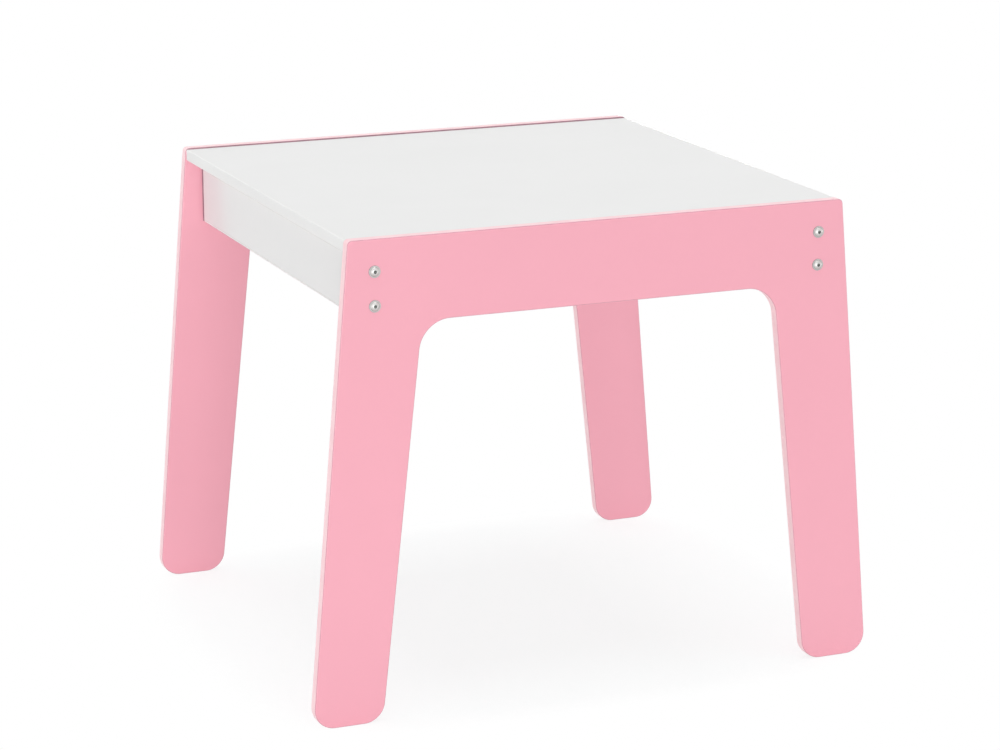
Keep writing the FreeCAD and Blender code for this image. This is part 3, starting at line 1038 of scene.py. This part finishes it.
def makeFrameBoard(name, node, outward):
    size = frameSet
    low, high = nodeBox(node)
    thickness = high.y - low.y
    rootHalf = size["topHalf"] + (size["footHalf"] - size["topHalf"]) * size["rail"] / high.z
    rightSide = (
        (size["topHalf"], high.z, size["cornerRadius"]),
        (size["footHalf"], 0, size["footRadius"]),
        (size["footHalf"] - size["legFoot"], 0, size["footRadius"]),
        (rootHalf - size["legRoot"], high.z - size["rail"], size["openingRadius"]),
    )
    corners = [(Vector((x, low.y, z)), radius) for x, z, radius in rightSide]
    corners += [(Vector((-x, low.y, z)), radius) for x, z, radius in reversed(rightSide)]
    bm = raisePlate(corners, yAxis * thickness, size["cornerSteps"])
    easeEdges(bm, rimEdges(bm, yAxis), size["arris"], size["arrisSteps"])
    markBoard(bm, outward)
    outer, inner = (low.y, high.y) if outward.y < 0 else (high.y, low.y)
    dowelDepth = nodeBox("front_frame")[1].y - dowelLow.y + dowelSet["endRoom"]
    bits = drillBits([(x, outer, z) for x, z in boltSpots], boltHole(thickness), -outward)
    dowelHole = plainHole(dowelSet["radius"] + dowelSet["holeFit"], dowelDepth)
    addShell(bits, drillBits([(x, inner, z) for x, z in dowelSpots], dowelHole, outward))
    bm = carve(bm, bits, (pinkLacquer,))
    finishPiece(name, bm, (pinkLacquer,), node, flatFaces=True)


makeFrameBoard("frontFrame", "front_frame", -yAxis)
makeFrameBoard("rearFrame", "rear_frame", yAxis)
print("frames made")

# top: faced board with a band on each side edge
rawFinish = 1  # the raw board's place among a piece's finishes
topSet = {
    "cornerRadius": 0.0018, "cornerSteps": 6, "edgeRadius": 0.0015, "edgeSteps": 4, "seam": 0.0001,
}


def makeTopBlank():
    coreLow, coreHigh = nodeBox("table_top")
    left, right = nodeBox("top_left_edge_band")[0].x, nodeBox("top_right_edge_band")[1].x
    plan = ((left, coreLow.y), (right, coreLow.y), (right, coreHigh.y), (left, coreHigh.y))
    corners = [(Vector((x, y, coreLow.z)), topSet["cornerRadius"]) for x, y in plan]
    bm = raisePlate(corners, zAxis * (coreHigh.z - coreLow.z), topSet["cornerSteps"])
    easeEdges(bm, rimEdges(bm, zAxis), topSet["edgeRadius"], topSet["edgeSteps"])
    return bm


def makeTop():
    low, high = nodeBox("table_top")
    core = makeTopBlank()
    keepBehind(core, xAxis * low.x, -xAxis, topSet["seam"], rawFinish)
    keepBehind(core, xAxis * high.x, xAxis, topSet["seam"], rawFinish)
    dowelDepth = dowelHigh.y - low.y + dowelSet["endRoom"]
    hole = plainHole(dowelSet["radius"] + dowelSet["holeFit"], dowelDepth)
    bits = drillBits([(x, low.y, z) for x, z in dowelSpots], hole, yAxis)
    addShell(bits, drillBits([(x, high.y, z) for x, z in dowelSpots], hole, -yAxis))
    addShell(bits, pilotBits("bracket_top_screws"))
    core = carve(core, bits, (whiteBoard, rawBoard))
    finishPiece("topBoard", core, (whiteBoard, rawBoard), "table_top",
                flatFaces=True)
    for name, node, seam, normal in (("topLeftBand", "top_left_edge_band", low.x, xAxis),
                                     ("topRightBand", "top_right_edge_band", high.x, -xAxis)):
        band = makeTopBlank()
        keepBehind(band, xAxis * seam, normal, topSet["seam"], rawFinish)
        finishPiece(name, band, (whiteBand, rawBoard), node, flatFaces=True)


makeTop()
print("top made")

# aprons: faced boards under the top, banded along the lower edge
apronSet = {
    "cornerRadius": 0.003, "cornerSteps": 6, "edgeRadius": 0.0015, "edgeSteps": 4, "seam": 0.0001,
}


def makeApronBlank(boardNode, bandNode):
    low, high = nodeBox(boardNode)
    low.z = nodeBox(bandNode)[0].z
    outline = ((low.y, low.z, apronSet["cornerRadius"]), (high.y, low.z, apronSet["cornerRadius"]),
               (high.y, high.z, 0), (low.y, high.z, 0))
    corners = [(Vector((low.x, y, z)), radius) for y, z, radius in outline]
    bm = raisePlate(corners, xAxis * (high.x - low.x), apronSet["cornerSteps"])
    eased = [edge for edge in rimEdges(bm, xAxis)
             if min(vert.co.z for vert in edge.verts) < high.z - mergeGap]
    easeEdges(bm, eased, apronSet["edgeRadius"], apronSet["edgeSteps"])
    return bm


def makeApron(side, name):
    boardNode, bandNode = name + "_apron", name + "_apron_edge_band"
    low, high = nodeBox(boardNode)
    inner, inward = (high.x, xAxis) if side < 0 else (low.x, -xAxis)
    core = makeApronBlank(boardNode, bandNode)
    keepBehind(core, zAxis * low.z, -zAxis, apronSet["seam"], rawFinish)
    levels = sorted({z for x, z in boltSpots})
    centre = (low.x + high.x) / 2
    boltDepth = boltHigh.y + boltSet["endRoom"] - low.y
    hole = plainHole(boltSet["shankRadius"] + boltSet["holeFit"], boltDepth)
    bits = drillBits([(centre, low.y, z) for z in levels], hole, yAxis)
    addShell(bits, drillBits([(centre, high.y, z) for z in levels], hole, -yAxis))
    core = carve(core, bits, (whiteApron, rawBoard))
    nutLow, nutHigh = nodeBox(boardNode + "_barrel_nuts")
    deepest = nutLow.x if side < 0 else nutHigh.x
    pocketDepth = abs(inner - deepest) + nutSet["holeFit"]
    pocket = plainHole(nutSet["radius"] + nutSet["holeFit"], pocketDepth)
    places = [Vector((inner, spot.y, spot.z)) for spot in nutPlaces(boardNode + "_barrel_nuts")]
    pockets = drillBits(places, pocket, -inward)
    addShell(pockets, pilotBits("bracket_apron_screws", side))
    core = carve(core, pockets, (whiteApron, rawBoard))
    finishPiece(name + "ApronBoard", core, (whiteApron, rawBoard), boardNode,
                flatFaces=True)
    band = makeApronBlank(boardNode, bandNode)
    keepBehind(band, zAxis * low.z, zAxis, apronSet["seam"], rawFinish)
    finishPiece(name + "ApronBand", band, (whiteBand, rawBoard), bandNode,
                flatFaces=True)


makeApron(-1, "left")
makeApron(1, "right")
print("aprons made")
